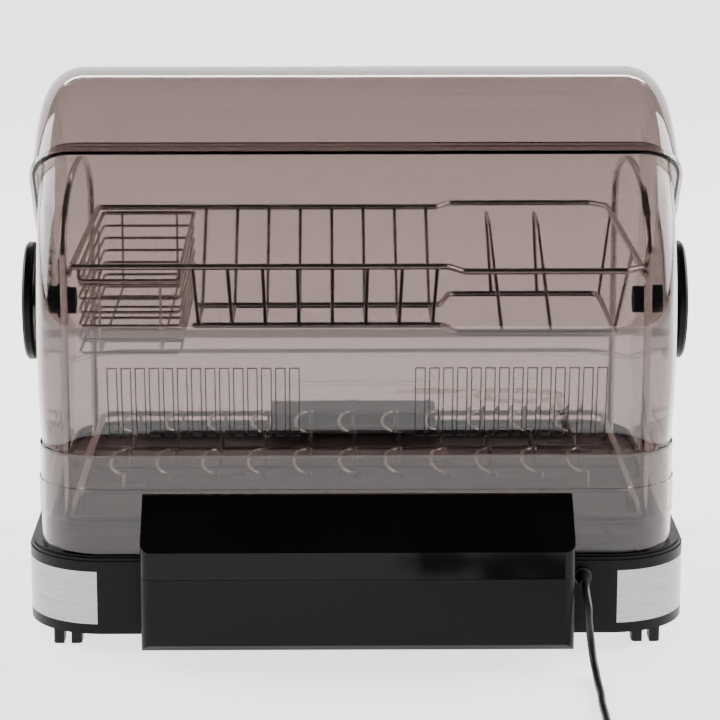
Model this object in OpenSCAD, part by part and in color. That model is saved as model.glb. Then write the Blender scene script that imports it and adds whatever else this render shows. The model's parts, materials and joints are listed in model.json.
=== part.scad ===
// Two-tier countertop dish dryer with a clear roll-top lid, a fan heater behind and wire racks.
// Front is -Y, the fan housing is at +Y, and the origin is on the counter under the middle of the box.

/* [Base] */
// Width of the base
base_w = 512; // [460:1:620]
// Depth of the base, front face to rear face
base_d = 372; // [340:1:450]
// Corner radius of the base, seen from above
base_corner = 60; // [50:1:80]
// Height of the feet
foot_h = 14; // [10:1:20]
// Height of the black tub
tub_h = 50; // [46:1:62]
// Height of the rim on top of the tub
rim_h = 12; // [10:1:16]
// Wall of the black mouldings
wall = 2.5; // [2:0.1:3]
// Thickness of the steel band round the tub
band_t = 1.2; // [0.8:0.1:1.5]
// Height of the steel band
band_h = 42; // [38:1:46]
// Length of bare tub between the ends of the steel band, at the rear
band_gap = 400; // [370:1:412]

/* [Cabinet] */
// Height of the lid's hinge above the counter
hinge_h = 238; // [232:1:290]
// Height of the cabinet's ledge above the counter
ledge_h = 155; // [150:1:165]
// Width of the ledge, front and rear
ledge_w = 16.5; // [12:0.5:22]
// Wall of the clear mouldings
clear_wall = 2.5; // [2:0.1:3]
// Radius of the cabinet's rounded edges
shell_corner = 28; // [20:1:34]
// Gap between the lid and the cabinet, all round
lid_gap = 1.5; // [1:0.1:2]
// Angle of the lid's rear edge above the hinge
lid_rear_angle = 48; // [40:1:52]
// Angle of the lid's front edge below the hinge
lid_front_angle = 22; // [17:1:22]
// Overlap of lid and cabinet at both edges, in degrees
lid_lap = 4; // [2:0.5:5]
// Radius of the hinge pins
pin_r = 8; // [6:0.5:10]
// Running clearance of the lid on its pins
pin_clear = 0.05; // [0.02:0.01:0.1]
// Radius of the hinge caps
cap_r = 48; // [44:1:54]
// Number of upright flutes in each group of the rear wall
flute_count = 14; // [8:1:14]
// Distance from one flute to the next
flute_pitch = 10.6; // [9:0.1:11]
// Width of a flute
flute_w = 7.2; // [5:0.1:8]
// Height of a flute
flute_h = 56; // [40:1:60]

/* [Fan housing] */
// Width of the fan housing
housing_w = 328; // [300:1:340]
// Distance the fan housing stands out behind the base
housing_reach = 44; // [36:1:56]
// Top of the fan housing above the counter
housing_top = 125; // [122:1:130]
// Height of the housing's upright rear face above the counter
housing_face = 92; // [86:1:98]
// Outer radius of the blower casing
blower_r = 36; // [32:0.5:37]
// Width of the blower casing
blower_w = 60; // [50:1:80]
// Gap between the fan wheel and its casing
fan_gap = 5; // [3:0.5:8]

/* [Front] */
// Width of the raised console in the middle of the front
console_w = 145; // [120:1:180]
// Radius of the timer knob
knob_r = 16.5; // [13:0.5:17]
// Height of the timer knob
knob_d = 17.5; // [12:0.5:20]
// Width of the drip drawer
drawer_w = 280; // [200:1:320]
// Height of the drip drawer
drawer_h = 26; // [22:0.5:28]
// Gap round the drip drawer
drawer_gap = 1; // [0.6:0.1:1.5]

/* [Racks] */
// Wire of the stand
stand_r = 3; // [2.5:0.1:3.5]
// Wire of the rack frames
frame_r = 2.5; // [2:0.1:3]
// Wire of the dividers
wire_r = 1.6; // [1.2:0.1:2]
// Wire of the cutlery basket
mesh_r = 1.25; // [1:0.05:1.5]
// Distance from one side arch of the stand to the other
stand_w = 452; // [400:1:454]
// Height of the upper rack's rails above the counter
rack_h = 290; // [284:1:296]
// Depth of the upper rack's trough
rack_drop = 66.7; // [56:0.1:70]
// Number of plate dividers in the upper rack
plate_count = 8; // [5:1:8]
// Distance from one plate divider to the next
plate_pitch = 27; // [22:0.5:28]
// Width of the cutlery basket
basket_w = 78; // [60:1:84]
// Number of rings below the basket's rim
basket_rings = 6; // [4:1:6]
// Distance from one basket ring to the next
basket_pitch = 10.7; // [9:0.1:11]
// Height of the lower rack's rails above the counter
lower_h = 108; // [104:1:112]
// Number of bowl dividers in each row of the lower rack
bowl_count = 11; // [7:1:11]
// Distance from one bowl divider to the next
bowl_pitch = 36.5; // [32:0.5:38]

/* [Hidden] */
$fn = 48;

eps = 0.01;
fit = 0.3;
black = [0.16, 0.16, 0.17];
dark = [0.09, 0.09, 0.1];
steel = [0.66, 0.66, 0.66];
wire_grey = [0.55, 0.52, 0.5];
smoke = [0.62, 0.57, 0.56, 0.5];

// Heights from the counter up
tub_z = foot_h;
rim_z = tub_z + tub_h;
deck_z = rim_z + rim_h;
pan_z = deck_z + 10;
pan_edge = 5;

// The cabinet: a skirt on the rim, and a drum about the hinge that rises from the ledge
skirt_inset = 9;
skirt_hw = base_w / 2 - skirt_inset;
skirt_hd = base_d / 2 - 3;
side_hw = skirt_hw - 3;
shell_r = sqrt(pow(skirt_hd - ledge_w, 2) + pow(hinge_h - ledge_h, 2));
side_gap = lid_gap + 2;
lid_r = shell_r + lid_gap + clear_wall;
lid_hw = side_hw + side_gap + clear_wall;
lid_corner = shell_corner + lid_gap + clear_wall;
lip = 2;
flute_x = 44;
flute_z = ledge_h + 13;
flute_depth = 1.2;
notch_r = 49.6;
notch_h = 8;
collar_r = 42;
collar_t = 8.5;
cap_t = 8.4;
cap_x = lid_hw + collar_t + fit;
nut_r = 11;
nut_t = 14;

// The housing, the console and the box that they set
housing_hw = housing_w / 2;
rear_y = base_d / 2 + housing_reach;
housing_y = base_d / 2 - 48;
seam_z = deck_z - 5;
console_hw = console_w / 2;
console_y = -base_d / 2 - 2;
console_depth = 37;
console_top = 107;
knob_z = console_top - 17;
crest_z = 125;
crest_t = 2;
knob_gap = 0.5;
lens_x = 48;
lens_r = 4;
front_y = console_y - knob_gap - knob_d;
axis_y = -(rear_y + front_y) / 2;

// The blower
fan_y = rear_y - 48;
fan_z = 74;
fan_r = blower_r - 2 - fan_gap;
fan_hw = blower_w / 2 - 8;
shaft_r = 3;
duct_h = 22;
inlet_hw = 70;
inlet_hd = 24;

// The racks
stand_x = stand_w / 2;
rack_x = stand_x - stand_r - frame_r - 1;
leg_rear = base_d / 2 - 61;
leg_front = -base_d / 2 + 43;
bar_z = pan_z + stand_r;
arch_top = 349;
trough_rear = leg_rear - 95;
trough_front = leg_front + 95;
trough_z = rack_h - rack_drop;
bay_x = -77;
bay_out = 20;
bay_end = -rack_x + 12;
bay_rear = trough_rear + 30;
bay_front = trough_front - 46;
hoop_x = [bay_x - 40, bay_x - 79];
plate_x = 126.5;
basket_x1 = rack_x - frame_r - mesh_r - 1;
basket_x0 = basket_x1 - basket_w;
basket_rear = leg_rear - frame_r - mesh_r - 1.5;
basket_front = leg_front + frame_r + mesh_r + 1.5;
basket_rim = rack_h - 4;
basket_floor = basket_rim - 0.5 - basket_pitch * basket_rings;
lower_x = rack_x - 2;
post_h = 14;

// The drawer
drawer_z = tub_z + 10;
drawer_back = housing_y - 28;

// The mains lead: where it leaves, its route along the counter, and its coil
cord_r = 3;
gland_x = -173;
gland_z = 60;
gland_len = 22;
gland_r = 4.2;
cord_route = [
    [-173, 196, 60], [-173, 203, 59], [-173, 210, 55], [-174, 216, 48], [-174, 219, 39],
    [-175, 221, 30], [-176, 224, 21], [-177, 230, 12], [-178, 239, 6], [-178, 251, 4],
    [-178, 266, 3], [-178, 284, 3], [-177, 304, 3], [-177, 326, 3], [-177, 350, 3],
    [-178, 374, 3], [-178, 398, 3], [-178, 414, 3], [-178, 428, 3]
];
coil_x = -145;
coil_y = 428;
coil_r = 33;
coil_w = 12;
coil_h = 18;
tail_route = [[-145, 463, 15], [-130, 463, 15], [-114, 462, 13], [-102, 460, 11], [-90, 459, 10]];
plug_x = -90;
plug_z = 10;
plug_len = 36;

// ---------- helpers ----------
module at_hinge() {
    translate([0, axis_y, 0]) children();
}

module rounded_plan(hw, hd, r) {
    union() {
        square([2 * hw - 2 * r, 2 * hd], center = true);
        square([2 * hw, 2 * hd - 2 * r], center = true);
        for (x = [-1, 1], y = [-1, 1]) translate([x * (hw - r), y * (hd - r)]) circle(r);
    }
}

module slab(hw, hd, r, z0, z1) {
    translate([0, 0, z0]) linear_extrude(z1 - z0) rounded_plan(hw, hd, r);
}

module block(x0, x1, y0, y1, z0, z1) {
    translate([x0, y0, z0]) cube([x1 - x0, y1 - y0, z1 - z0]);
}

// A straight wire between two points
module rod(a, b, r) {
    hull() for (p = [a, b]) translate(p) sphere(r, $fn = 6);
}

// Straight wires through points, each end inside the next
module zigzag(points, r) {
    for (i = [0 : len(points) - 2]) rod(points[i], points[i + 1], i % 2 == 0 ? r : 0.96 * r);
}

// A rod along X at the hinge's height
module hinge_rod(x0, x1, r) {
    translate([x0, 0, hinge_h]) rotate([0, 90, 0]) cylinder(h = x1 - x0, r = r, $fn = 96);
}

// The solid of the cabinet's drum, with rounded ends, about the hinge
module drum(r, hw, corner) {
    translate([0, 0, hinge_h]) rotate([0, 90, 0]) rotate_extrude($fn = 180) intersection() {
        union() {
            translate([0, -hw]) square([r - corner, 2 * hw]);
            translate([0, -hw + corner]) square([r, 2 * (hw - corner)]);
            for (s = [-1, 1]) translate([r - corner, s * (hw - corner)]) circle(corner);
        }
        translate([0, -hw - 1]) square([r + 1, 2 * hw + 2]);
    }
}

// A wedge about the hinge, from one angle to another, less than half a turn
module wedge(a0, a1) {
    reach = 400;
    mid = (a0 + a1) / 2;
    translate([-400, 0, hinge_h]) rotate([90, 0, 90]) linear_extrude(800)
        polygon([
            [0, 0],
            reach * [cos(a0), sin(a0)],
            1.2 * reach * [cos((a0 + mid) / 2), sin((a0 + mid) / 2)],
            1.2 * reach * [cos((a1 + mid) / 2), sin((a1 + mid) / 2)],
            reach * [cos(a1), sin(a1)]
        ]);
}

function unit(v) = v / norm(v);
function along(p, i, ring) = let(n = len(p)) ring
    ? unit(p[(i + 1) % n] - p[(i + n - 1) % n])
    : unit(p[min(i + 1, n - 1)] - p[max(i - 1, 0)]);
function ring_side(t) = unit(cross(t, abs(t[2]) > 0.9 ? [1, 0, 0] : [0, 0, 1]));
function carried(p, i, ring) = i == 0 ? ring_side(along(p, 0, ring))
    : let(t = along(p, i, ring), s = carried(p, i - 1, ring)) unit(s - t * (s * t));

// A round tube swept along a route as one closed polyhedron; a ring joins its own start
module tube(route, r, sides = 8, ring = false) {
    n = len(route);
    points = [for (i = [0 : n - 1])
        let(t = along(route, i, ring), u = carried(route, i, ring), v = cross(t, u))
        for (k = [0 : sides - 1])
            route[i] + r * (cos(360 * k / sides) * u + sin(360 * k / sides) * v)];
    walls = [for (i = [0 : ring ? n - 1 : n - 2], k = [0 : sides - 1])
        let(a = i * sides + k, b = i * sides + (k + 1) % sides,
            c = (i + 1) % n * sides + (k + 1) % sides, d = (i + 1) % n * sides + k)
        for (face = [[a, c, b], [a, d, c]]) face];
    start = [for (k = [0 : sides - 1]) k];
    end = [for (k = [sides - 1 : -1 : 0]) (n - 1) * sides + k];
    polyhedron(points, ring ? walls : concat(walls, [start, end]));
}

// ---------- base ----------
// The space that the fan housing fills, with a gap round it
module housing_space(gap) {
    block(-housing_hw - gap, housing_hw + gap, housing_y - gap, rear_y + 50, -1, housing_top + gap);
}

module console_space(gap) {
    block(-console_hw - gap, console_hw + gap, console_y - 50, console_y + console_depth + gap,
        deck_z - eps, console_top + gap);
}

module drawer_space(gap) {
    block(-drawer_w / 2 - gap, drawer_w / 2 + gap, -base_d, -base_d / 2 + 20,
        drawer_z - gap, drawer_z + drawer_h + gap);
}

// Hole for the strain relief through the rear wall
module gland_hole() {
    translate([gland_x, base_d / 2 - 10, gland_z])
        rotate([-90, 0, 0]) cylinder(h = 20, r = gland_r + fit);
}

module base_tub() {
    color(black) at_hinge() difference() {
        union() {
            difference() {
                slab(base_w / 2, base_d / 2, base_corner, tub_z, rim_z);
                slab(base_w / 2 - wall - band_t, base_d / 2 - wall - band_t,
                    base_corner - wall - band_t, tub_z - 1, rim_z + 1);
                band_space(fit / 3);
            }
            difference() {
                slab(base_w / 2 - wall - band_t + eps, base_d / 2 - wall - band_t + eps,
                    base_corner - wall - band_t + eps, tub_z + wall, tub_z + 2 * wall);
                slab(base_w / 2 - 14, base_d / 2 - 14, base_corner - 14, tub_z, rim_z);
            }
        }
        housing_space(fit);
        drawer_space(drawer_gap);
        gland_hole();
    }
}

module band_space(gap) {
    difference() {
        slab(base_w / 2 + 1, base_d / 2 + 1, base_corner + 1, rim_z - band_h - gap, rim_z + eps);
        slab(base_w / 2 - band_t - gap, base_d / 2 - band_t - gap, base_corner - band_t - gap,
            tub_z, rim_z + 1);
        block(-band_gap / 2 + gap, band_gap / 2 - gap, 0, base_d, tub_z, rim_z + 1);
    }
}

module steel_band() {
    color(steel) at_hinge() difference() {
        slab(base_w / 2, base_d / 2, base_corner, rim_z - band_h, rim_z);
        slab(base_w / 2 - band_t, base_d / 2 - band_t, base_corner - band_t, tub_z, rim_z + 1);
        block(-band_gap / 2, band_gap / 2, 0, base_d, tub_z, rim_z + 1);
        drawer_space(drawer_gap);
    }
}

module bottom_plate() {
    inset = wall + band_t + fit;
    color(black) at_hinge() difference() {
        union() {
            slab(base_w / 2 - inset, base_d / 2 - inset, base_corner - inset, tub_z, tub_z + wall);
            for (s = [-1, 1]) block(s * (drawer_w / 2 - 20) - 3, s * (drawer_w / 2 - 20) + 3,
                -base_d / 2 + 14, drawer_back, tub_z + wall - eps, drawer_z - fit);
        }
        housing_space(fit);
        for (p = screw_places()) translate([p[0], p[1], 0]) cylinder(h = 40, r = 1.8);
        for (x = [-3 : 3], y = [-2 : 2]) translate([x * 28, y * 22 - 10, 0]) cylinder(h = 17, r = 4);
    }
}

function screw_places() = [
    for (x = [-1, 1], y = [-1, 1]) [x * (base_w / 2 - 9.5), y * 60],
    for (x = [-1, 1]) [x * (drawer_w / 2 + 40), -base_d / 2 + 9.5]
];

module plate_screws() {
    color(steel) at_hinge() for (p = screw_places()) translate([p[0], p[1], tub_z - 1.8]) {
        cylinder(h = 1.8, r = 3.4);
        cylinder(h = wall + 1.8, r = 1.6);
    }
}

module base_rim() {
    color(black) at_hinge() difference() {
        union() {
            slab(base_w / 2, base_d / 2, base_corner, rim_z, deck_z - 4);
            slab(base_w / 2 - 1.2, base_d / 2 - 1.2, base_corner - 1.2, deck_z - 4 - eps, deck_z - 1.5);
            slab(base_w / 2 - 3, base_d / 2 - 3, base_corner - 3, deck_z - 1.5 - eps, deck_z);
        }
        slab(base_w / 2 - 2 * wall, base_d / 2 - 2 * wall, base_corner - 2 * wall,
            rim_z - 1, deck_z - wall);
        slab(base_w / 2 - 34, base_d / 2 - 34, base_corner - 30, rim_z - 1, deck_z + 1);
        housing_space(fit);
        gland_hole();
    }
}

module foot(sx, sy) {
    w = 22;
    slot = 5.6;
    cx = base_w / 2 - 31;
    cy = base_d / 2 - 29;
    color(dark) at_hinge() translate([sx * cx, sy * cy, 0]) difference() {
        union() {
            slab(w / 2, 9, 3, 0, foot_h);
            slab(w / 2 - 2, 7, 2, 1, foot_h);
        }
        block(-slot / 2, slot / 2, -20, 20, -1, foot_h - 3);
    }
}

module foot_front_left() { foot(1, -1); }
module foot_front_right() { foot(-1, -1); }
module foot_rear_left() { foot(1, 1); }
module foot_rear_right() { foot(-1, 1); }

module drain_pan() {
    hw = skirt_hw - clear_wall - 2;
    hd = skirt_hd - clear_wall - 2;
    r = base_corner - 14;
    gap = wall + 1;
    hole_r = 6;
    color([0.5, 0.48, 0.47]) at_hinge() difference() {
        union() {
            difference() {
                slab(hw, hd, r, deck_z, pan_z + pan_edge);
                slab(hw - wall, hd - wall, r - wall, deck_z - 1, pan_z - wall);
                slab(hw - wall, hd - wall, r - wall, pan_z, pan_z + 20);
            }
            intersection() {
                slab(hw, hd, r, deck_z + 2, pan_z + pan_edge);
                union() {
                    housing_space(gap);
                    console_space(gap);
                }
            }
            translate([0, -20, deck_z - 18]) cylinder(h = pan_z - wall - deck_z + 18 + eps, r = hole_r + 2);
        }
        housing_space(1);
        console_space(1);
        translate([0, -20, deck_z - 30]) cylinder(h = 60, r = hole_r);
    }
}

module drip_drawer() {
    hw = drawer_w / 2;
    y0 = -base_d / 2;
    color([0.2, 0.2, 0.21]) at_hinge() difference() {
        union() {
            difference() {
                block(-hw, hw, y0 + 0.5, drawer_back, drawer_z, drawer_z + drawer_h);
                block(-hw + 2, hw - 2, y0 + 4, drawer_back - 2, drawer_z + 2, drawer_z + drawer_h + 1);
            }
            block(-45, 45, y0 - 9, y0 + 1, drawer_z + drawer_h - 7, drawer_z + drawer_h - 2);
        }
        block(-40, 40, y0 - 6, y0 - 2, drawer_z + drawer_h - 8, drawer_z + drawer_h - 4);
    }
}

// ---------- front console and timer ----------
module front_console() {
    y1 = console_y + console_depth;
    color(black) at_hinge() difference() {
        block(-console_hw, console_hw, console_y, y1, deck_z, console_top);
        block(-console_hw + wall, console_hw - wall, console_y + wall, y1 - wall,
            deck_z - 1, console_top - wall);
        translate([0, console_y - 1, knob_z]) rotate([-90, 0, 0]) cylinder(h = 6, r = 5);
        translate([lens_x, console_y - 1, knob_z]) rotate([-90, 0, 0]) cylinder(h = 6, r = lens_r + 0.1);
        for (s = [-1, 1]) translate([s * console_hw, console_y, 0]) rotate([0, 0, 45])
            cube([4, 4, 600], center = true);
        translate([0, console_y, console_top]) rotate([45, 0, 0]) cube([console_w + 2, 4, 4], center = true);
    }
}

module timer_unit() {
    color([0.75, 0.72, 0.65]) at_hinge() difference() {
        union() {
            block(-24, 24, console_y + wall + 4, console_y + console_depth - wall - 1,
                knob_z - 12, knob_z + 13);
            translate([0, console_y + wall, knob_z]) rotate([-90, 0, 0]) cylinder(h = 4.5, r = 8);
        }
        translate([0, console_y - 5, knob_z]) rotate([-90, 0, 0]) cylinder(h = 24, r = shaft_r + pin_clear);
    }
}

module timer_shaft() {
    color(steel) at_hinge() translate([0, console_y - knob_gap - 12, knob_z])
        rotate([-90, 0, 0]) cylinder(h = 28, r = shaft_r);
}

module timer_knob() {
    color(black) at_hinge() translate([0, console_y - knob_gap, knob_z]) rotate([90, 0, 0]) difference() {
        union() {
            rotate_extrude($fn = 96) polygon([
                [0, 0], [knob_r, 0], [knob_r, 3], [knob_r - 2.5, 4],
                [knob_r - 4, knob_d - 4], [knob_r - 7, knob_d - 2], [0, knob_d - 2]
            ]);
            block(-3, 3, -knob_r + 5, knob_r - 5, 4, knob_d);
        }
        for (i = [0 : 17])
            rotate([0, 0, i * 20 + 10]) translate([knob_r - 2.5, 0, 4.5]) cylinder(h = knob_d, r = 2);
        translate([0, 0, -1]) cylinder(h = 13, r = shaft_r);
    }
}

module pilot_lens() {
    color("orange") at_hinge() translate([lens_x, console_y - 1.2, knob_z]) rotate([-90, 0, 0]) {
        cylinder(h = 1.2, r = lens_r + 1);
        cylinder(h = 5, r = lens_r);
    }
}

// ---------- cabinet and lid ----------
module cabinet() {
    inner_hw = side_hw - clear_wall;
    top_z = (ledge_h + housing_top) / 2 - 12;
    low_z = (deck_z + top_z) / 2;
    color(smoke) at_hinge() difference() {
        union() {
            // skirt in three shallow tiers
            slab(skirt_hw - 1, skirt_hd - 1, base_corner - 10, top_z, ledge_h);
            slab(skirt_hw, skirt_hd, base_corner - 9, low_z, top_z);
            slab(skirt_hw - 1.2, skirt_hd - 1.2, base_corner - 10.2, deck_z + 3, low_z);
            slab(skirt_hw - 2.4, skirt_hd - 2.4, base_corner - 11.4, deck_z, deck_z + 3 + eps);
            // raised panel in the middle of the front
            block(-console_hw, console_hw, -skirt_hd - crest_t, -skirt_hd + clear_wall, deck_z + 10, crest_z);
            // drum above the ledge, open where the lid closes it
            difference() {
                intersection() {
                    drum(shell_r, side_hw, shell_corner);
                    block(-base_w, base_w, -base_d, base_d, ledge_h - 1, hinge_h + shell_r + 10);
                }
                wedge(lid_rear_angle + lid_lap, 180 + lid_front_angle - lid_lap / 2);
            }
            for (s = [-1, 1]) {
                hinge_rod(s > 0 ? side_hw - clear_wall : -side_hw, s > 0 ? side_hw : -side_hw + clear_wall, 34);
                hinge_rod(s > 0 ? side_hw - 1 : -side_hw - side_gap + fit,
                    s > 0 ? side_hw + side_gap - fit : -side_hw + 1, 20);
            }
        }
        intersection() {
            drum(shell_r - clear_wall, inner_hw, shell_corner - clear_wall);
            block(-base_w, base_w, -base_d, base_d, ledge_h - 10, hinge_h + shell_r + 10);
        }
        slab(skirt_hw - 1.2 - clear_wall, skirt_hd - 1.2 - clear_wall, base_corner - 10.2 - clear_wall,
            deck_z - 1, ledge_h - clear_wall);
        block(-console_hw + clear_wall, console_hw - clear_wall, -skirt_hd - crest_t + clear_wall,
            -skirt_hd + 2 * clear_wall, deck_z - 1, crest_z - clear_wall);
        hinge_rod(-base_w, base_w, pin_r + fit);
        housing_space(fit);
        console_space(fit);
        flutes();
        // finger notch in the lower edge, over the lead
        translate([gland_x - 18, 50, deck_z + notch_h - notch_r]) rotate([-90, 0, 0])
            cylinder(h = base_d, r = notch_r);
    }
}

// Shallow upright recesses in the outside of the rear wall
module flutes() {
    difference() {
        for (s = [-1, 1], i = [0 : flute_count - 1])
            translate([s * (flute_x + flute_w / 2 + i * flute_pitch), shell_r - 10, flute_z + flute_h / 2])
                cube([flute_w, 40, flute_h], center = true);
        drum(shell_r - flute_depth, side_hw, shell_corner);
    }
}

module lid() {
    a0 = lid_rear_angle;
    a1 = 180 + lid_front_angle;
    color(smoke) at_hinge() difference() {
        union() {
            intersection() {
                drum(lid_r, lid_hw, lid_corner);
                wedge(a0, a1);
            }
            intersection() {
                drum(lid_r + lip, lid_hw + lip, lid_corner + lip);
                union() {
                    wedge(a0, a0 + 1.5);
                    wedge(a1 - 1.5, a1);
                }
            }
            for (s = [-1, 1]) hinge_rod(s > 0 ? lid_hw - clear_wall : -lid_hw - collar_t,
                s > 0 ? lid_hw + collar_t : -lid_hw + clear_wall, collar_r);
        }
        drum(lid_r - clear_wall, lid_hw - clear_wall, lid_corner - clear_wall);
        hinge_rod(-lid_hw + clear_wall, lid_hw - clear_wall, collar_r + 2);
        hinge_rod(-base_w, base_w, pin_r + pin_clear);
        for (s = [-1, 1])
            translate([s * (lid_hw + collar_t / 2 + 1), 0, hinge_h]) rotate([0, 90, 0]) difference() {
                cylinder(h = collar_t - 2, r = collar_r - 3, center = true);
                cylinder(h = collar_t, r = pin_r + 5, center = true);
            }
    }
}

module pivot_cap(s) {
    color(black) at_hinge() translate([s * cap_x, 0, hinge_h]) rotate([0, s * 90, 0]) {
        rotate_extrude($fn = 120) polygon([
            [0, 0], [cap_r - 2, 0], [cap_r, 2], [cap_r, cap_t - 2], [cap_r - 2, cap_t],
            [cap_r - 6, cap_t], [cap_r - 8, cap_t - 3], [0, cap_t - 3]
        ]);
        translate([0, 0, -cap_x + side_hw - clear_wall - nut_t + 3])
            cylinder(h = cap_x - side_hw + clear_wall + nut_t - 3 + eps, r = pin_r);
    }
}

module pivot_cap_left() { pivot_cap(1); }
module pivot_cap_right() { pivot_cap(-1); }

module pivot_nut(s) {
    color(dark) at_hinge() translate([s * (side_hw - clear_wall), 0, hinge_h]) rotate([0, -s * 90, 0])
        difference() {
            union() {
                cylinder(h = 3, r = nut_r + 3);
                cylinder(h = nut_t, r = nut_r);
            }
            translate([0, 0, -1]) cylinder(h = nut_t - 2, r = pin_r);
            for (a = [0, 90]) rotate([0, 0, a]) block(-7, 7, -1.5, 1.5, nut_t - 1.5, nut_t + 1);
        }
}

module pivot_nut_left() { pivot_nut(1); }
module pivot_nut_right() { pivot_nut(-1); }

// ---------- fan housing ----------
// The outside of the housing, shrunk by t on every face
module housing_solid(t) {
    intersection() {
        translate([-housing_hw + t, 0, 0]) rotate([90, 0, 90]) linear_extrude(housing_w - 2 * t)
            polygon([
                [housing_y + t, tub_z + t], [rear_y - 5, tub_z + t], [rear_y - t, tub_z + 5 + t],
                [rear_y - t, housing_face - t / 2], [base_d / 2 - t / 3, housing_top - t],
                [housing_y + t, housing_top - t]
            ]);
        slab_between(housing_hw - t, housing_y + t, rear_y - t, 8 - t, 0, housing_top + 1);
    }
}

module slab_between(hw, y0, y1, r, z0, z1) {
    translate([0, (y0 + y1) / 2, 0]) slab(hw, (y1 - y0) / 2, r, z0, z1);
}

module outlet_hole(gap) {
    block(-blower_w / 2 + 4 - gap, blower_w / 2 - 4 + gap, housing_y - 10, housing_y + wall + 1,
        fan_z + blower_r - duct_h + 5 - gap, fan_z + blower_r - 3 + gap);
}

module housing_lower() {
    color(black) at_hinge() difference() {
        intersection() {
            housing_solid(0);
            block(-base_w, base_w, 0, base_d, 0, seam_z - fit / 2);
        }
        housing_solid(wall);
        block(-inlet_hw, inlet_hw, fan_y - inlet_hd, fan_y + inlet_hd, 0, tub_z + wall + 1);
        // hole for the inner wiring
        block(-housing_hw - 1, -housing_hw + wall + 1, housing_y + 18, housing_y + 30, 44, 56);
    }
}

module housing_upper() {
    color(dark) at_hinge() difference() {
        intersection() {
            housing_solid(0);
            block(-base_w, base_w, 0, base_d, seam_z + fit / 2, housing_top + 1);
        }
        housing_solid(wall);
        outlet_hole(0);
    }
}

module housing_screws() {
    color(steel) at_hinge() for (s = [-1, 1], y = [housing_y + 14, rear_y - 16])
        translate([s * (housing_hw - 14), y, tub_z - 1.5]) {
            cylinder(h = 1.5, r = 3.4);
        }
}

module inlet_grille() {
    color(dark) at_hinge() difference() {
        block(-inlet_hw + 0.2, inlet_hw - 0.2, fan_y - inlet_hd + 0.2, fan_y + inlet_hd - 0.2,
            tub_z, tub_z + wall);
        for (i = [0 : 21]) block(-65.5 + i * 6, -62.5 + i * 6, fan_y - inlet_hd + 4, fan_y + inlet_hd - 4,
            0, tub_z + wall + 1);
    }
}

module outlet_grille() {
    hw = blower_w / 2;
    z0 = fan_z + blower_r - duct_h + 3 + fit;
    z1 = fan_z + blower_r + 1;
    color(dark) at_hinge() difference() {
        block(-hw, hw, housing_y - wall, housing_y, z0, z1);
        for (i = [0 : 8]) block(-hw + 6 + i * 5.6, -hw + 9 + i * 5.6, housing_y - 10, housing_y + 1,
            z0 + 2, z1 - 4);
    }
}

// The spiral casing's outline, shrunk by t
module blower_outline(t) {
    circle(blower_r - t, $fn = 96);
    translate([-(fan_y - housing_y - wall) - t, blower_r - duct_h + t])
        square([fan_y - housing_y - wall + t, duct_h - 2 * t]);
}

module blower_casing() {
    color([0.3, 0.3, 0.3]) at_hinge() translate([-blower_w / 2, fan_y, fan_z]) rotate([90, 0, 90])
        difference() {
            linear_extrude(blower_w) blower_outline(0);
            translate([0, 0, 2]) linear_extrude(blower_w - 4) blower_outline(2);
            translate([0, 0, -1]) cylinder(h = 4, r = fan_r - 5);
            translate([0, 0, blower_w - 3]) cylinder(h = 4, r = 9);
        }
}

module fan_wheel() {
    blades = 20;
    color([0.85, 0.85, 0.85]) at_hinge() translate([-fan_hw, fan_y, fan_z]) rotate([0, 90, 0]) difference() {
        union() {
            translate([0, 0, 2 * fan_hw - 2]) cylinder(h = 2, r = fan_r);
            translate([0, 0, 2 * fan_hw - 14]) cylinder(h = 14, r = 7);
            difference() {
                cylinder(h = 2, r = fan_r);
                translate([0, 0, -1]) cylinder(h = 4, r = fan_r - 7);
            }
            for (i = [0 : blades - 1]) rotate([0, 0, i * 360 / blades])
                translate([fan_r - 6.5, 0, 1]) rotate([0, 0, 30]) cube([6, 1, 2 * fan_hw - 2]);
        }
        translate([0, 0, -1]) cylinder(h = 2 * fan_hw + 2, r = shaft_r);
    }
}

module motor_shaft() {
    color(steel) at_hinge() translate([fan_hw - 16, fan_y, fan_z]) rotate([0, 90, 0])
        cylinder(h = blower_w / 2 + 36 - fan_hw + 16, r = shaft_r);
}

module fan_motor() {
    x0 = blower_w / 2;
    color([0.4, 0.4, 0.42]) at_hinge() translate([x0, fan_y, fan_z]) rotate([0, 90, 0]) difference() {
        union() {
            cylinder(h = 3, r = 24);
            cylinder(h = 40, r = 20);
            cylinder(h = 46, r = 7);
        }
        translate([0, 0, -1]) cylinder(h = 40, r = shaft_r + pin_clear);
    }
}

module heater_block() {
    z1 = fan_z + blower_r - 2;
    z0 = z1 - duct_h + 4;
    hw = blower_w / 2 - 2;
    y0 = housing_y + wall + 1;
    color([0.8, 0.78, 0.7]) at_hinge() difference() {
        block(-hw, hw, y0, y0 + 8, z0, z1);
        for (i = [0 : 8]) block(-hw + 5 + i * 5, -hw + 7 + i * 5, y0 - 1, y0 + 9, z0 + 3, z1 - 3);
    }
}

module thermal_cutout() {
    color([0.7, 0.7, 0.72]) at_hinge() translate([0, housing_y + 14, fan_z + blower_r]) {
        cylinder(h = 3, r = 9);
        cylinder(h = 7, r = 7);
    }
}

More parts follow.
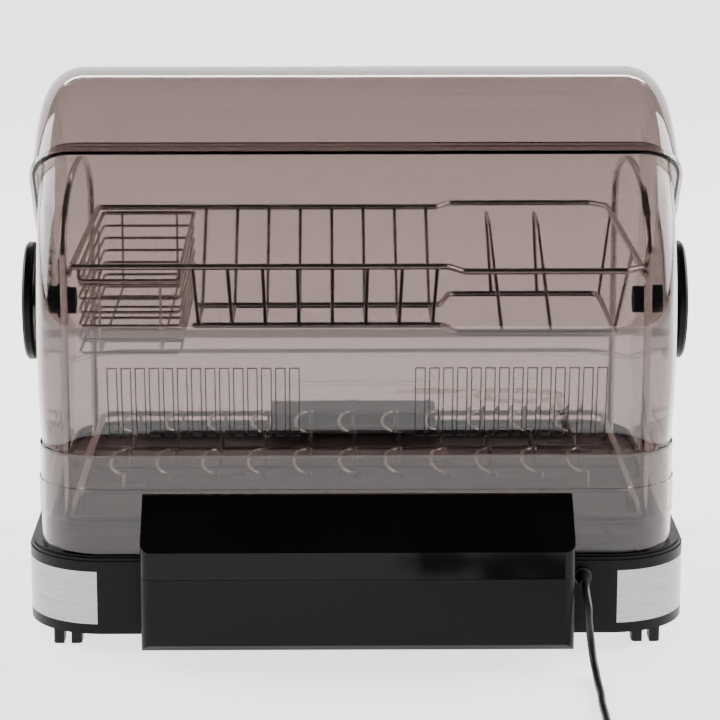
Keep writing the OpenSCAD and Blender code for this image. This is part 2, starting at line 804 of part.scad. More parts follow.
// ---------- racks ----------
module rack_stand() {
    mid = (leg_rear + leg_front) / 2;
    half = (leg_rear - leg_front) / 2;
    rise = arch_top - rack_h - 10;
    color(wire_grey) at_hinge() {
        for (s = [-1, 1]) {
            x = s * stand_x;
            tube(concat(
                [[x, leg_rear - 14, bar_z], [x, leg_rear - 5, bar_z + 2], [x, leg_rear, bar_z + 9]],
                [for (a = [0 : 15 : 180]) [x, mid + half * cos(a), rack_h + 10 + rise * sin(a)]],
                [[x, leg_front, bar_z + 9], [x, leg_front + 5, bar_z + 2], [x, leg_front + 14, bar_z]]
            ), stand_r);
            // rail that the upper rack rests on, and the foot rail
            rod([x - s * 4, leg_rear + 3, rack_h - 2 * frame_r - fit],
                [x - s * 4, leg_front - 3, rack_h - 2 * frame_r - fit], frame_r);
            rod([x, leg_rear - 12, bar_z], [x, leg_front + 12, bar_z], 0.96 * stand_r);
        }
        // cross bars with rounded ends
        for (y = [leg_rear, leg_front]) {
            zigzag([
                [-stand_x, y, bar_z + 10], [-stand_x + 3, y, bar_z + 3], [-stand_x + 10, y, bar_z],
                [stand_x - 10, y, bar_z], [stand_x - 3, y, bar_z + 3], [stand_x, y, bar_z + 10]
            ], 0.94 * stand_r);
        }
    }
}

module upper_rack() {
    r = leg_rear;
    f = leg_front;
    e = rack_x;
    z = rack_h;
    color(wire_grey) at_hinge() {
        // rail round the top
        tube([
            [e, r - 6, z], [e - 6, r, z], [bay_x + 8, r, z], [bay_x + 3, r + 3, z],
            [bay_x - 3, r + bay_out - 3, z], [bay_x - 8, r + bay_out, z], [-e + 18, r + bay_out, z],
            [-e + 8, r + 15, z], [-e, r, z], [-e, f, z], [-e + 8, f - 15, z], [-e + 18, f - bay_out, z],
            [bay_x - 8, f - bay_out, z], [bay_x - 3, f - bay_out + 3, z], [bay_x + 3, f - 3, z],
            [bay_x + 8, f, z], [e - 6, f, z], [e, f + 6, z]
        ], frame_r, ring = true);
        // rail round the bottom of the trough
        tube([
            [plate_x + 3, trough_rear, trough_z], [bay_x + 6, trough_rear, trough_z],
            [bay_x - 4, bay_rear, trough_z], [bay_end + 6, bay_rear, trough_z],
            [bay_end, bay_rear - 6, trough_z], [bay_end, bay_front + 6, trough_z],
            [bay_end + 6, bay_front, trough_z], [bay_x - 4, bay_front, trough_z],
            [bay_x + 6, trough_front, trough_z], [plate_x + 3, trough_front, trough_z]
        ], frame_r);
        // plate dividers
        for (i = [0 : plate_count - 1]) {
            x = plate_x - i * plate_pitch;
            zigzag([[x, r, z], [x, trough_rear, trough_z], [x, trough_front, trough_z], [x, f, z]], wire_r);
        }
        // hoops and end wires of the bay
        for (x = hoop_x) tube([
            [x, bay_rear, trough_z], [x + 8, 34, z + 8], [x + 9, 24, z + 14], [x + 9, -24, z + 16],
            [x + 8, -34, z + 10], [x, bay_front, trough_z]
        ], wire_r, 6);
        rod([-e + 1.6, trough_rear + 44, z], [bay_end, bay_rear - 10, trough_z], wire_r);
        rod([-e + 1.6, trough_front - 56, z], [bay_end, bay_front + 10, trough_z], wire_r);
    }
}

// Corner points of a basket ring at height z
function basket_ring(z, c) = [
    [basket_x1, basket_rear - c, z], [basket_x1 - c, basket_rear, z],
    [basket_x0 + c, basket_rear, z], [basket_x0, basket_rear - c, z],
    [basket_x0, basket_front + c, z], [basket_x0 + c, basket_front, z],
    [basket_x1 - c, basket_front, z], [basket_x1, basket_front + c, z]
];

module cutlery_basket() {
    c = 5;
    dip = 8;
    stay_x = [basket_x0 + 15, basket_x1 - 16];
    color(wire_grey) at_hinge() {
        // rim, lower at the rear
        tube([
            [basket_x1, basket_rear - 10, basket_rim], [basket_x1, basket_rear - 2, basket_rim - dip],
            [basket_x1 - c, basket_rear, basket_rim - dip], [basket_x0 + c, basket_rear, basket_rim - dip],
            [basket_x0, basket_rear - 2, basket_rim - dip], [basket_x0, basket_rear - 10, basket_rim],
            [basket_x0, basket_front + c, basket_rim], [basket_x0 + c, basket_front, basket_rim],
            [basket_x1 - c, basket_front, basket_rim], [basket_x1, basket_front + c, basket_rim]
        ], mesh_r + 0.5, ring = true);
        for (k = [1 : basket_rings])
            tube(basket_ring(basket_rim - 0.5 - k * basket_pitch, c), mesh_r, 6, ring = true);
        // stays from end to end and down the sides
        for (x = stay_x) zigzag([
            [x, basket_rear, basket_rim - dip], [x, basket_rear, basket_floor],
            [x, basket_front, basket_floor], [x, basket_front, basket_rim]
        ], 0.9 * mesh_r);
        for (x = [basket_x0, basket_x1], y = [basket_rear - 60, basket_front + 60])
            rod([x, y, basket_rim], [x, y, basket_floor], 0.9 * mesh_r);
        for (k = [1 : 5]) rod([basket_x0, basket_front + k * 43, basket_floor],
            [basket_x1, basket_front + k * 43, basket_floor], 0.95 * mesh_r);
    }
}

module lower_rack() {
    z = lower_h;
    y_rear = leg_rear - 13;
    y_front = leg_front + 8;
    row_step = 126;
    reach = 72;
    bulge = 13;
    x0 = bowl_pitch * (bowl_count - 1) / 2;
    color(wire_grey) at_hinge() {
        for (y = [y_rear, y_front]) rod([lower_x, y, z], [-lower_x, y, z], frame_r);
        for (s = [-1, 1]) rod([s * lower_x, y_rear, z], [s * lower_x, y_front, z], 0.96 * frame_r);
        for (y = [y_rear - reach, y_rear - row_step, y_rear - row_step - reach])
            rod([-lower_x, y, z], [lower_x, y, z], wire_r);
        for (s = [-1, 1], y = [y_rear - 20, y_front + 20])
            rod([s * lower_x, y, pan_z + frame_r], [s * lower_x, y, z], 0.92 * frame_r);
        for (y = [y_rear, y_rear - row_step], i = [0 : bowl_count - 1]) {
            x = x0 - i * bowl_pitch;
            tube(concat(
                [[x, y, z], [x, y, z + post_h - 4]],
                [for (a = [15 : 30 : 165])
                    [x + bulge * sin(a), y - reach / 2 + reach / 2 * cos(a), z + post_h]],
                [[x, y - reach, z + post_h - 4], [x, y - reach, z]]
            ), 0.9 * wire_r, 6);
        }
    }
}

// ---------- mains lead ----------
module terminal_block() {
    color([0.9, 0.9, 0.88]) at_hinge() difference() {
        block(gland_x - 36, gland_x - 8, base_d / 2 - 46, base_d / 2 - 20, tub_z + wall, tub_z + wall + 14);
        for (i = [0 : 2]) translate([gland_x - 31 + i * 9, base_d / 2 - 33, tub_z + wall + 5])
            cylinder(h = 20, r = 2);
    }
}

module cord_gland() {
    color(dark) translate([gland_x, base_d / 2 + axis_y, gland_z]) rotate([-90, 0, 0]) {
        cylinder(h = 3, r = gland_r + 2.8);
        translate([0, 0, -8]) cylinder(h = 9, r = gland_r);
        cylinder(h = gland_len, r1 = gland_r + 1.8, r2 = cord_r + 1);
    }
}

module mains_cord() {
    color(dark) tube(cord_route, cord_r);
    color(dark) tube(tail_route, cord_r);
}

module cord_coil() {
    color(dark) translate([coil_x, coil_y, 0]) rotate_extrude($fn = 64)
        translate([coil_r - coil_w / 2, 0]) square([coil_w, coil_h]);
}

module plug_body() {
    y = tail_route[len(tail_route) - 1][1];
    color(dark) translate([plug_x, y, plug_z]) rotate([0, 90, 0]) {
        translate([0, 0, -16]) difference() {
            cylinder(h = 17, r1 = 4, r2 = 6);
            translate([0, 0, -1]) cylinder(h = 17, r = cord_r);
        }
        intersection() {
            cylinder(h = plug_len, r1 = 9, r2 = 13);
            block(-10, 10, -13, 13, 0, plug_len);
        }
    }
}

module plug_pins() {
    y = tail_route[len(tail_route) - 1][1];
    color("gold") for (s = [-1, 1]) translate([plug_x + plug_len, y + s * 6.35, plug_z])
        block(0, 17, -0.8, 0.8, -3.2, 3.2);
}

base_tub();
bottom_plate();
base_rim();
steel_band();
drain_pan();
drip_drawer();
foot_front_left();
foot_front_right();
foot_rear_left();
foot_rear_right();
plate_screws();
front_console();
timer_unit();
timer_shaft();
timer_knob();
pilot_lens();
cabinet();
lid();
pivot_cap_left();
pivot_cap_right();
pivot_nut_left();
pivot_nut_right();
housing_lower();
housing_upper();
housing_screws();
inlet_grille();
outlet_grille();
blower_casing();
fan_wheel();
motor_shaft();
fan_motor();
heater_block();
thermal_cutout();
rack_stand();
upper_rack();
cutlery_basket();
lower_rack();
terminal_block();
cord_gland();
mains_cord();
cord_coil();
plug_body();
plug_pins();
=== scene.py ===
"""Two-tier dish dryer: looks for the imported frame. Metres, in the CAD frame (front -Y, +Z up)."""
import json
import math

import bpy
import bmesh
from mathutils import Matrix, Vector


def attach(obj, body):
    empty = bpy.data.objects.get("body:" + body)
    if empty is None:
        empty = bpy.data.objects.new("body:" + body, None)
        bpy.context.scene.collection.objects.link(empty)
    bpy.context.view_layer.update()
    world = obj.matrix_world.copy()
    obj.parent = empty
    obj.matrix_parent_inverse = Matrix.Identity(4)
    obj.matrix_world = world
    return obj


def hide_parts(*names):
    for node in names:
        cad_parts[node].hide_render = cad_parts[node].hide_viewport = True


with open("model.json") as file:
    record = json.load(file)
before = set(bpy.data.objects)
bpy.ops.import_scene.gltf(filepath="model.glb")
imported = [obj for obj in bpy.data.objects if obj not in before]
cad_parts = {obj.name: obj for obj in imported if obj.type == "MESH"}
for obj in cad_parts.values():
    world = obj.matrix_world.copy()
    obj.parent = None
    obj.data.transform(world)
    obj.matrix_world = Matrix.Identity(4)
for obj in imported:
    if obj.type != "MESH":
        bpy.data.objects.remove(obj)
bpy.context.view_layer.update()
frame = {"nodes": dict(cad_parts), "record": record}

MM = 0.001
nodes = frame["nodes"]


def vec(x, y, z):
    return Vector((x, y, z)) * MM


# ---------- camera: behind the machine, looking down 13 degrees ----------
HINGE = Vector((0.0, -0.012, 0.238))
CAMERA_DISTANCE = 2.255
CAMERA_HEIGHT = 0.710
CAMERA_PITCH = math.radians(13.05)
CAMERA_YAW = math.radians(0.6)

camera_data = bpy.data.cameras.new("camera")
camera_data.lens = 140.85
camera_data.sensor_width = 36.0
camera_data.shift_x = 0.0072
camera_data.clip_end = 100.0
camera = bpy.data.objects.new("camera", camera_data)
bpy.context.scene.collection.objects.link(camera)
camera.location = (
    HINGE.x + CAMERA_DISTANCE * math.sin(CAMERA_YAW),
    HINGE.y + CAMERA_DISTANCE * math.cos(CAMERA_YAW),
    CAMERA_HEIGHT,
)
camera.rotation_euler = (math.pi / 2 - CAMERA_PITCH, 0.0, math.pi - CAMERA_YAW)
bpy.context.scene.camera = camera


# ---------- materials ----------
def shader(name, colour, roughness, metallic=0.0):
    """A principled material with its node tree and its surface node."""
    mat = bpy.data.materials.new(name)
    mat.use_nodes = True
    tree = mat.node_tree
    surface = tree.nodes["Principled BSDF"]
    surface.inputs["Base Color"].default_value = (*colour, 1.0)
    surface.inputs["Roughness"].default_value = roughness
    surface.inputs["Metallic"].default_value = metallic
    return mat, tree, surface


def noise(tree, scale, detail=3.0, stretch=(1.0, 1.0, 1.0)):
    """Noise in object space; stretch multiplies the frequency along each axis."""
    place = tree.nodes.new("ShaderNodeTexCoord")
    mapping = tree.nodes.new("ShaderNodeMapping")
    mapping.inputs["Scale"].default_value = stretch
    texture = tree.nodes.new("ShaderNodeTexNoise")
    texture.inputs["Scale"].default_value = scale
    texture.inputs["Detail"].default_value = detail
    tree.links.new(place.outputs["Object"], mapping.inputs["Vector"])
    tree.links.new(mapping.outputs["Vector"], texture.inputs["Vector"])
    return texture.outputs["Fac"]


def spread(tree, value, low, high):
    """Maps a noise value's usual range onto low..high."""
    ramp = tree.nodes.new("ShaderNodeMapRange")
    ramp.inputs["From Min"].default_value = 0.3
    ramp.inputs["From Max"].default_value = 0.7
    ramp.inputs["To Min"].default_value = low
    ramp.inputs["To Max"].default_value = high
    tree.links.new(value, ramp.inputs["Value"])
    return ramp.outputs["Result"]


def tint(tree, value, dark, light):
    mix = tree.nodes.new("ShaderNodeMix")
    mix.data_type = "RGBA"
    mix.inputs["A"].default_value = (*dark, 1.0)
    mix.inputs["B"].default_value = (*light, 1.0)
    tree.links.new(value, mix.inputs["Factor"])
    return mix.outputs["Result"]


def bump(tree, surface, value, distance, strength=1.0):
    node = tree.nodes.new("ShaderNodeBump")
    node.inputs["Distance"].default_value = distance
    node.inputs["Strength"].default_value = strength
    tree.links.new(value, node.inputs["Height"])
    tree.links.new(node.outputs["Normal"], surface.inputs["Normal"])


def moulded(name, colour, roughness, grain=0.00002, grain_scale=1400.0, wear=0.04, shine=0.5):
    """Moulded plastic: a fine grain, and roughness and tone that drift a little."""
    mat, tree, surface = shader(name, colour, roughness)
    surface.inputs["Specular IOR Level"].default_value = shine
    drift = noise(tree, 14.0, 4.0)
    tree.links.new(spread(tree, drift, roughness - wear, roughness + wear), surface.inputs["Roughness"])
    shade = tint(tree, spread(tree, drift, 0.0, 1.0), tuple(c * 0.85 for c in colour),
                 tuple(min(1.0, c * 1.15) for c in colour))
    tree.links.new(shade, surface.inputs["Base Color"])
    bump(tree, surface, noise(tree, grain_scale, 2.0), grain)
    return mat


def clear_smoke(name, colour):
    """Smoke-tinted clear plastic with the faint ripple of a large moulding."""
    mat, tree, surface = shader(name, colour, 0.02)
    surface.inputs["Specular IOR Level"].default_value = 0.3
    surface.inputs["Transmission Weight"].default_value = 1.0
    surface.inputs["IOR"].default_value = 1.45
    tree.links.new(spread(tree, noise(tree, 30.0, 4.0), 0.0, 0.05), surface.inputs["Roughness"])
    bump(tree, surface, noise(tree, 9.0, 1.0, (1.0, 1.0, 2.0)), 0.0004, 0.35)
    return mat


def brushed(name, colour, stretch, roughness=0.32):
    """Brushed steel: long fine scratches along one axis."""
    mat, tree, surface = shader(name, colour, roughness, 1.0)
    lines = noise(tree, 60.0, 6.0, stretch)
    tree.links.new(spread(tree, lines, roughness - 0.1, roughness + 0.12), surface.inputs["Roughness"])
    shade = tint(tree, spread(tree, lines, 0.0, 1.0), tuple(c * 0.8 for c in colour),
                 tuple(min(1.0, c * 1.12) for c in colour))
    tree.links.new(shade, surface.inputs["Base Color"])
    bump(tree, surface, lines, 0.00003)
    return mat


def wire_metal(name, colour, roughness):
    mat, tree, surface = shader(name, colour, roughness, 1.0)
    drift = noise(tree, 220.0, 3.0)
    tree.links.new(spread(tree, drift, roughness - 0.05, roughness + 0.08), surface.inputs["Roughness"])
    shade = tint(tree, spread(tree, drift, 0.0, 1.0), tuple(c * 0.82 for c in colour), colour)
    tree.links.new(shade, surface.inputs["Base Color"])
    return mat


SMOKE = clear_smoke("clear_smoke", (0.385, 0.33, 0.317))
# painted shade: a much darker smoke tint for the flute rims, standing in for the dark lines that
# refraction makes at the flute edges
FLUTE_EDGE_SHADE = clear_smoke("painted_edge_shade", (0.10, 0.08, 0.078))
GLOSS = moulded("black_gloss", (0.003, 0.0032, 0.0035), 0.11, grain=0.0, wear=0.03, shine=0.12)
SATIN = moulded("black_satin", (0.0045, 0.0045, 0.005), 0.38, shine=0.11)
MATT = moulded("black_part", (0.006, 0.006, 0.0065), 0.5, grain=0.00004, shine=0.18)
TRAY = moulded("grey_tray", (0.13, 0.122, 0.122), 0.3, shine=0.3)
BAND = brushed("brushed_band", (0.33, 0.33, 0.325), (0.4, 0.4, 14.0), 0.24)
WIRE = wire_metal("bright_wire", (0.66, 0.63, 0.61), 0.16)
STEEL = brushed("bare_steel", (0.5, 0.5, 0.5), (6.0, 6.0, 1.0))
PALE = moulded("pale_plastic", (0.6, 0.57, 0.5), 0.45)
LENS = moulded("amber_lens", (0.8, 0.22, 0.02), 0.12, grain=0.0)
CORD = moulded("cord_black", (0.012, 0.012, 0.013), 0.42, grain=0.00006, grain_scale=900.0)
PIN = wire_metal("plated_pin", (0.75, 0.68, 0.45), 0.25)

SLOT_LOOKS = {
    "clear_smoke": SMOKE, "black_gloss": GLOSS, "black_satin": SATIN, "black_part": MATT,
    "grey_tray": TRAY, "brushed_band": BAND, "bright_wire": WIRE, "bare_steel": STEEL,
    "pale_plastic": PALE, "amber_lens": LENS, "cord_black": CORD, "plated_pin": PIN,
}
for row in frame["record"]["subparts"]:
    mesh = nodes[row["node"]].data
    mesh.materials.clear()
    mesh.materials.append(SLOT_LOOKS[row["material_slot"]])


# ---------- swept wires ----------
def rounded(points, radius, steps=6, ring=False):
    """The points with each corner turned into an arc of the given radius."""
    count = len(points)
    out = []
    for i, corner in enumerate(points):
        if not ring and i in (0, count - 1):
            out.append(corner)
            continue
        before = points[i - 1] - corner
        after = points[(i + 1) % count] - corner
        angle = before.angle(after)
        if angle > math.radians(176):
            out.append(corner)
            continue
        reach = min(radius / math.tan(angle / 2), 0.48 * before.length, 0.48 * after.length)
        size = reach * math.tan(angle / 2)
        middle = (before.normalized() + after.normalized()).normalized()
        centre = corner + middle * (size / math.sin(angle / 2))
        start = corner + before.normalized() * reach - centre
        end = corner + after.normalized() * reach - centre
        sweep = start.angle(end)
        for k in range(steps + 1):
            t = k / steps
            spoke = start * math.sin((1 - t) * sweep) + end * math.sin(t * sweep)
            out.append(centre + spoke / math.sin(sweep))
    return out


def sweep_tube(mesh, path, radius, sides=10, ring=False):
    """Adds a round tube along the path to a bmesh, with domed ends unless it is a ring."""
    count = len(path)
    tangents = []
    for i in range(count):
        ahead = path[(i + 1) % count] if ring or i < count - 1 else path[i]
        behind = path[i - 1] if ring or i > 0 else path[i]
        tangents.append((ahead - behind).normalized())
    side = tangents[0].orthogonal().normalized()
    stations = []
    for i in range(count):
        side = (side - tangents[i] * side.dot(tangents[i])).normalized()
        stations.append((path[i], tangents[i], side, radius))
    if not ring:
        first, last = stations[0], stations[-1]
        dome = [(0.35, 0.94), (0.7, 0.71), (0.92, 0.4)]
        head = [(first[0] - first[1] * radius * out, first[1], first[2], radius * size)
                for out, size in reversed(dome)]
        tail = [(last[0] + last[1] * radius * out, last[1], last[2], radius * size)
                for out, size in dome]
        stations = head + stations + tail
    loops = []
    for centre, tangent, across, size in stations:
        up = tangent.cross(across)
        loops.append([
            mesh.verts.new(centre + size * (math.cos(a) * across + math.sin(a) * up))
            for a in (2 * math.pi * k / sides for k in range(sides))
        ])
    pairs = list(zip(loops, loops[1:])) + ([(loops[-1], loops[0])] if ring else [])
    for low, high in pairs:
        shift = 0
        if ring and low is loops[-1]:
            shift = min(range(sides), key=lambda s: sum(
                (low[k].co - high[(k + s) % sides].co).length for k in range(sides)))
        for k in range(sides):
            face = (low[k], low[(k + 1) % sides],
                    high[(k + 1 + shift) % sides], high[(k + shift) % sides])
            mesh.faces.new(face).smooth = True
    if not ring:
        mesh.faces.new(list(reversed(loops[0]))).smooth = True
        mesh.faces.new(loops[-1]).smooth = True


def finish_mesh(name, build, look):
    """Makes an object from a bmesh that build fills."""
    data = bpy.data.meshes.new(name)
    work = bmesh.new()
    build(work)
    bmesh.ops.recalc_face_normals(work, faces=work.faces)
    work.to_mesh(data)
    work.free()
    data.materials.append(look)
    obj = bpy.data.objects.new(name, data)
    bpy.context.scene.collection.objects.link(obj)
    return obj


def wires(name, runs, body, slot, *replaced, look=WIRE):
    """One piece of many wires. A run is (points in mm, wire radius, bend radius, closed)."""
    def build(work):
        for points, radius, bend, ring in runs:
            path = rounded([vec(*p) for p in points], bend * MM, ring=ring)
            sweep_tube(work, path, radius * MM, ring=ring)
    obj = finish_mesh(name, build, look)
    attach(obj, body)
    if replaced:
        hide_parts(*replaced)
    return obj


# ---------- mains lead ----------
CORD_D = 0.006
CORD_ROUTE = [
    (-173, 196, 60), (-173, 203, 59), (-173, 210, 55), (-174, 216, 48), (-174, 219, 39),
    (-175, 221, 30), (-176, 224, 21), (-177, 230, 12), (-178, 239, 6), (-178, 251, 4),
    (-178, 266, 3), (-178, 284, 3), (-177, 304, 3), (-177, 326, 3), (-177, 350, 3),
    (-178, 374, 3), (-178, 398, 3), (-178, 414, 3),
]
COIL_CENTRE = (-145, 428)
COIL_ENTRY = (33, 3)
COIL_TURNS = [(36, 3), (30, 3), (30, 9), (36, 9), (36, 15.2)]    # radius and height of each turn
TAIL_ROUTE = [(-130, 463, 15), (-114, 462, 13), (-101, 460, 11), (-90, 459, 10)]
STEPS_PER_TURN = 32


def coil_points():
    """Turns of the coil, clockwise from its -X side, each easing to its own radius and height."""
    out = []
    quarter = STEPS_PER_TURN // 4
    for step in range(1, STEPS_PER_TURN * len(COIL_TURNS) + quarter + 1):
        turn, part = divmod(step, STEPS_PER_TURN)
        now = COIL_TURNS[min(turn, len(COIL_TURNS) - 1)]
        before = COIL_TURNS[turn - 1] if turn else COIL_ENTRY
        ease = min(1.0, part / quarter)
        ease = ease * ease * (3 - 2 * ease)
        if turn >= len(COIL_TURNS):
            before, ease = now, 1.0
        radius = before[0] + (now[0] - before[0]) * ease
        height = before[1] + (now[1] - before[1]) * ease
        angle = math.pi - 2 * math.pi * step / STEPS_PER_TURN
        out.append((COIL_CENTRE[0] + radius * math.cos(angle),
                    COIL_CENTRE[1] + radius * math.sin(angle), height))
    return out


def smoothed(points, steps=4):
    """A Catmull-Rom curve through the points."""
    out = []
    for i in range(len(points) - 1):
        p0 = points[max(i - 1, 0)]
        p1, p2 = points[i], points[i + 1]
        p3 = points[min(i + 2, len(points) - 1)]
        for k in range(steps):
            t = k / steps
            out.append(0.5 * (2 * p1 + (p2 - p0) * t + (2 * p0 - 5 * p1 + 4 * p2 - p3) * t * t
                              + (3 * p1 - p0 - 3 * p2 + p3) * t ** 3))
    out.append(points[-1])
    return out


lead_path = smoothed([vec(*p) for p in CORD_ROUTE + coil_points() + TAIL_ROUTE], 3)
lead = finish_mesh("mains_lead", lambda work: sweep_tube(work, lead_path, CORD_D / 2, 12), CORD)
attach(lead, "base")
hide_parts("mains_cord", "cord_coil")

# ---------- wire tie round the coil, at its +X side ----------
TIE_X, TIE_WIDE, TIE_LOW, TIE_HIGH = COIL_CENTRE[0] + 33, 7.4, 0.7, 19.4


def tie_runs():
    x, y = TIE_X, COIL_CENTRE[1]
    loop = [(x - TIE_WIDE, y, TIE_LOW), (x + TIE_WIDE, y, TIE_LOW), (x + TIE_WIDE, y, TIE_HIGH),
            (x - TIE_WIDE, y, TIE_HIGH)]
    ears = [(x - 4, y + 3, TIE_HIGH + 2.5), (x, y, TIE_HIGH), (x + 3, y + 4, TIE_HIGH + 2)]
    return [(loop, 0.6, 3, True), (ears, 0.6, 1, False)]


wires("coil_tie", tie_runs(), "base", "cord_black", look=MATT)

# ---------- wire racks: the same layout as the CAD wires, in mm from the hinge axis ----------
Y0 = -12
STAND_X, LEG_REAR, LEG_FRONT = 226, 125, -143
RACK_X, RACK_Z, TROUGH_Z = 219.5, 290, 223.3
BAR_Z, PAN_Z, ARCH_TOP = 89, 86, 349
TROUGH_REAR, TROUGH_FRONT = 30, -48
SHELF_IN, SHELF_DROP = 4, 5.3      # side rods that carry the upper rack, in from the arch and below it
FOOT_TURN = 14                     # how far the stand's feet turn in
STAND_R, FRAME_R, DIVIDER_R, MESH_R = 3, 2.5, 1.6, 1.25


def at(points):
    """Points given from the hinge axis, moved into the frame."""
    return [(x, y + Y0, z) for x, y, z in points]


def stand_runs():
    runs = []
    middle, half = (LEG_REAR + LEG_FRONT) / 2, (LEG_REAR - LEG_FRONT) / 2
    for s in (-1, 1):
        x = s * STAND_X
        arch = [(x, middle + half * math.cos(math.radians(a)), RACK_Z + 10
                 + (ARCH_TOP - RACK_Z - 10) * math.sin(math.radians(a))) for a in range(0, 181, 6)]
        runs.append((at([(x, LEG_REAR - FOOT_TURN, BAR_Z), (x, LEG_REAR, BAR_Z)] + arch
                        + [(x, LEG_FRONT, BAR_Z), (x, LEG_FRONT + FOOT_TURN, BAR_Z)]),
                     STAND_R, 10, False))
        inner, shelf_z = x - s * SHELF_IN, RACK_Z - SHELF_DROP
        runs.append((at([(inner, LEG_REAR + 2, shelf_z), (inner, LEG_FRONT - 2, shelf_z)]),
                     FRAME_R, 1, False))
        runs.append((at([(x, LEG_REAR - 12, BAR_Z), (x, LEG_FRONT + 12, BAR_Z)]),
                     0.96 * STAND_R, 1, False))
    for y in (LEG_REAR, LEG_FRONT):
        runs.append((at([(-STAND_X, y, BAR_Z + 12), (-STAND_X, y, BAR_Z), (STAND_X, y, BAR_Z),
                         (STAND_X, y, BAR_Z + 12)]), 0.94 * STAND_R, 10, False))
    return runs


BAY_X, BAY_OUT = -77, 20
BAY_REAR, BAY_FRONT = TROUGH_REAR + 30, TROUGH_FRONT - 46
PLATE_X, PLATE_PITCH, PLATE_COUNT = 126.5, 27, 8
HOOP_X, HOOP_LEAN = (-117, -156), 9


def upper_rack_runs():
    rear, front, end, z, low = LEG_REAR, LEG_FRONT, RACK_X, RACK_Z, TROUGH_Z
    bay_end = -end + 12
    runs = [(at([
        (end, rear, z), (BAY_X + 6, rear, z),
        (BAY_X - 6, rear + BAY_OUT, z), (-end + 14, rear + BAY_OUT, z),
        (-end, rear + 4, z), (-end, front - 4, z),
        (-end + 14, front - BAY_OUT, z), (BAY_X - 6, front - BAY_OUT, z),
        (BAY_X + 6, front, z), (end, front, z)]), FRAME_R, 4, True)]
    runs.append((at([
        (PLATE_X + 3, TROUGH_REAR, low), (BAY_X + 6, TROUGH_REAR, low),
        (BAY_X - 4, BAY_REAR, low), (bay_end, BAY_REAR, low),
        (bay_end, BAY_FRONT, low), (BAY_X - 4, BAY_FRONT, low),
        (BAY_X + 6, TROUGH_FRONT, low), (PLATE_X + 3, TROUGH_FRONT, low)]), FRAME_R, 8, False))
    for i in range(PLATE_COUNT):
        x = PLATE_X - i * PLATE_PITCH
        runs.append((at([(x, rear, z), (x, TROUGH_REAR, low), (x, TROUGH_FRONT, low), (x, front, z)]),
                     DIVIDER_R, 5, False))
    for x in HOOP_X:
        runs.append((at([(x, BAY_REAR, low), (x + HOOP_LEAN, 27, z + 14),
                         (x + HOOP_LEAN, -27, z + 16), (x, BAY_FRONT, low)]), DIVIDER_R, 10, False))
    for y, inset in ((TROUGH_REAR + 44, TROUGH_REAR + 20), (TROUGH_FRONT - 56, TROUGH_FRONT - 36)):
        runs.append((at([(-end + 1.6, y, z), (bay_end, inset, low)]), DIVIDER_R, 1, False))
    return runs


BASKET_WIDE, BASKET_DIP, CROSS_PITCH, CROSS_COUNT = 78, 8, 43, 5
BASKET_X1 = RACK_X - FRAME_R - MESH_R - 1
BASKET_X0 = BASKET_X1 - BASKET_WIDE
BASKET_REAR = LEG_REAR - FRAME_R - MESH_R - 1.5
BASKET_FRONT = LEG_FRONT + FRAME_R + MESH_R + 1.5
BASKET_RIM, BASKET_PITCH, BASKET_RINGS = RACK_Z - 4, 10.7, 6


def basket_runs():
    x0, x1, rear, front, rim = BASKET_X0, BASKET_X1, BASKET_REAR, BASKET_FRONT, BASKET_RIM
    floor = rim - 0.5 - BASKET_PITCH * BASKET_RINGS
    dip = BASKET_DIP
    runs = [(at([(x1, rear - 10, rim), (x1, rear, rim - dip), (x0, rear, rim - dip),
                 (x0, rear - 10, rim), (x0, front, rim), (x1, front, rim)]), MESH_R + 0.5, 4, True)]
    for k in range(1, BASKET_RINGS + 1):
        z = rim - 0.5 - k * BASKET_PITCH
        runs.append((at([(x1, rear, z), (x0, rear, z), (x0, front, z), (x1, front, z)]),
                     MESH_R, 6, True))
    for x in (x0 + 15, x1 - 16):
        runs.append((at([(x, rear, rim - dip), (x, rear, floor), (x, front, floor), (x, front, rim)]),
                     0.9 * MESH_R, 3, False))
    for x in (x0, x1):
        for y in (rear - 60, front + 60):
            runs.append((at([(x, y, rim), (x, y, floor)]), 0.9 * MESH_R, 1, False))
    for k in range(1, CROSS_COUNT + 1):
        y = front + k * CROSS_PITCH
        runs.append((at([(x0, y, floor), (x1, y, floor)]),
                     0.95 * MESH_R, 1, False))
    return runs


LOWER_X, LOWER_Z, ROW_STEP, HOOK_REACH, HOOK_BULGE, POST_H = 217.5, 108, 126, 72, 13, 14
BOWL_COUNT, BOWL_PITCH = 11, 36.5


def lower_rack_runs():
    rear, front, z = LEG_REAR - 13, LEG_FRONT + 8, LOWER_Z
    runs = [(at([(LOWER_X, rear, z), (-LOWER_X, rear, z), (-LOWER_X, front, z), (LOWER_X, front, z)]),
             FRAME_R, 9, True)]
    for y in (rear - HOOK_REACH, rear - ROW_STEP, rear - ROW_STEP - HOOK_REACH):
        runs.append((at([(-LOWER_X, y, z), (LOWER_X, y, z)]), DIVIDER_R, 1, False))
    for s in (-1, 1):
        for y in (rear - 20, front + 20):
            runs.append((at([(s * LOWER_X, y, PAN_Z + FRAME_R), (s * LOWER_X, y, z)]),
                         0.92 * FRAME_R, 1, False))
    for y in (rear, rear - ROW_STEP):
        for i in range(BOWL_COUNT):
            x = BOWL_PITCH * (BOWL_COUNT - 1) / 2 - i * BOWL_PITCH
            arc = [(x + HOOK_BULGE * math.sin(a),
                    y - HOOK_REACH / 2 + HOOK_REACH / 2 * math.cos(a), z + POST_H)
                   for a in (math.pi * (k + 0.5) / 14 for k in range(14))]
            runs.append((at([(x, y, z), (x, y, z + POST_H)] + arc
                            + [(x, y - HOOK_REACH, z + POST_H), (x, y - HOOK_REACH, z)]),
                         0.9 * DIVIDER_R, 4, False))
    return runs


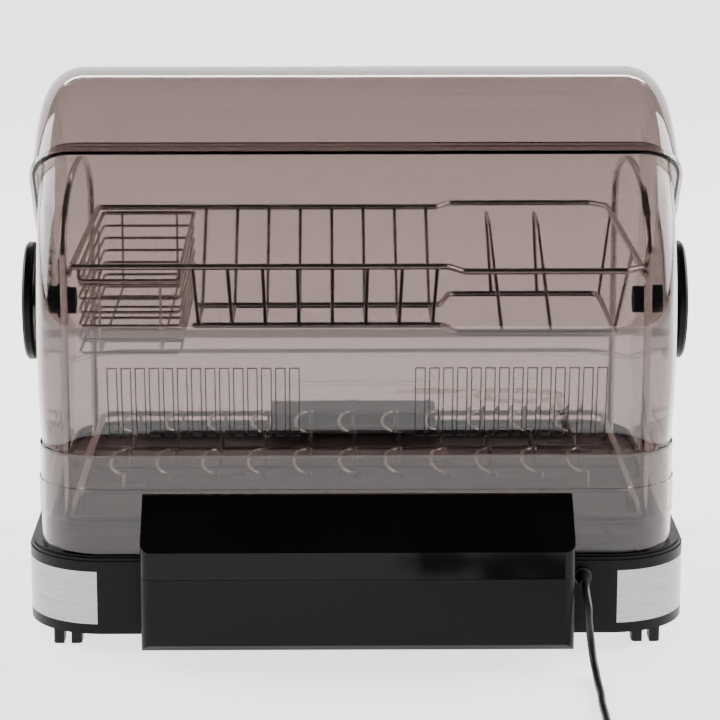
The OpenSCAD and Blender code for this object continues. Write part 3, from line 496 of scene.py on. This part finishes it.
wires("stand_wires", stand_runs(), "base", "bright_wire", "rack_stand")
wires("upper_rack_wires", upper_rack_runs(), "upper_basket", "bright_wire", "upper_rack")
wires("basket_wires", basket_runs(), "cutlery", "bright_wire", "cutlery_basket")
wires("lower_rack_wires", lower_rack_runs(), "lower_basket", "bright_wire", "lower_rack")


# ---------- painted shade: dark rims along the flute outlines in the cabinet's rear wall ---
HINGE_Z, DRUM_R = 238, 186.04
FLUTE_X, FLUTE_PITCH, FLUTE_W, FLUTE_COUNT = 44, 10.6, 7.2, 14
FLUTE_LOW, FLUTE_TOP = 168, 224
EDGE_R, EDGE_STEPS = 0.42, 6


def on_drum(x, z):
    """A point on the drum's outer face, in mm."""
    return (x, Y0 + math.sqrt(DRUM_R ** 2 - (HINGE_Z - z) ** 2), z)


def flute_runs():
    runs = []
    heights = [FLUTE_LOW + (FLUTE_TOP - FLUTE_LOW) * k / EDGE_STEPS for k in range(EDGE_STEPS + 1)]
    for side in (-1, 1):
        for i in range(FLUTE_COUNT):
            near = side * (FLUTE_X + i * FLUTE_PITCH)
            far = near + side * FLUTE_W
            points = [on_drum(near, z) for z in heights] + [on_drum(far, z) for z in reversed(heights)]
            runs.append((points, EDGE_R, 0.6, True))
    return runs


# The rims follow the real flute outlines. Their darker tint is painted shade for the refraction lines
# at those edges.
wires("flute_edge_shade", flute_runs(), "base", "clear_smoke", look=FLUTE_EDGE_SHADE)


# ---------- floor and light ----------
def add_light(name, place, target, size, energy):
    """A rectangular area light at place, facing target."""
    data = bpy.data.lights.new(name, "AREA")
    data.energy = energy
    data.shape = "RECTANGLE"
    data.size, data.size_y = size
    obj = bpy.data.objects.new(name, data)
    bpy.context.scene.collection.objects.link(obj)
    obj.location = place
    obj.rotation_euler = (Vector(target) - Vector(place)).to_track_quat("-Z", "Y").to_euler()


FLOOR_HALF, FLOOR_GLOW, WORLD_GLOW = 12, 2.0, 0.12
LIGHTS = [    # name, place, target, size, watts
    ("left_softbox", (2.4, -0.7, 1.2), (0.0, 0.0, 0.35), (2.4, 1.8), 120),
    ("right_softbox", (-2.4, -0.7, 1.2), (0.0, 0.0, 0.35), (2.4, 1.8), 120),
    ("backdrop", (0.0, -6.2, 1.6), (0.0, 0.0, 1.6), (11.0, 3.2), 190),
    ("backdrop_edge", (0.0, -6.0, 3.35), (0.0, 0.0, 0.4), (4.6, 0.22), 60),
]

floor_mat, _, floor_surface = shader("floor_paper", (0.9, 0.9, 0.9), 0.9)
floor_surface.inputs["Specular IOR Level"].default_value = 0.0
floor_surface.inputs["Emission Color"].default_value = (1.0, 1.0, 1.0, 1.0)
floor_surface.inputs["Emission Strength"].default_value = FLOOR_GLOW
floor_data = bpy.data.meshes.new("floor")
floor_data.from_pydata([(-FLOOR_HALF, -FLOOR_HALF, 0), (FLOOR_HALF, -FLOOR_HALF, 0),
                        (FLOOR_HALF, FLOOR_HALF, 0), (-FLOOR_HALF, FLOOR_HALF, 0)], [], [(0, 1, 2, 3)])
floor_data.materials.append(floor_mat)
floor = bpy.data.objects.new("floor", floor_data)
bpy.context.scene.collection.objects.link(floor)

world = bpy.data.worlds.new("studio")
bpy.context.scene.world = world
world.use_nodes = True
world.node_tree.nodes["Background"].inputs["Color"].default_value = (1.0, 1.0, 1.0, 1.0)
world.node_tree.nodes["Background"].inputs["Strength"].default_value = WORLD_GLOW

for row in LIGHTS:
    add_light(*row)
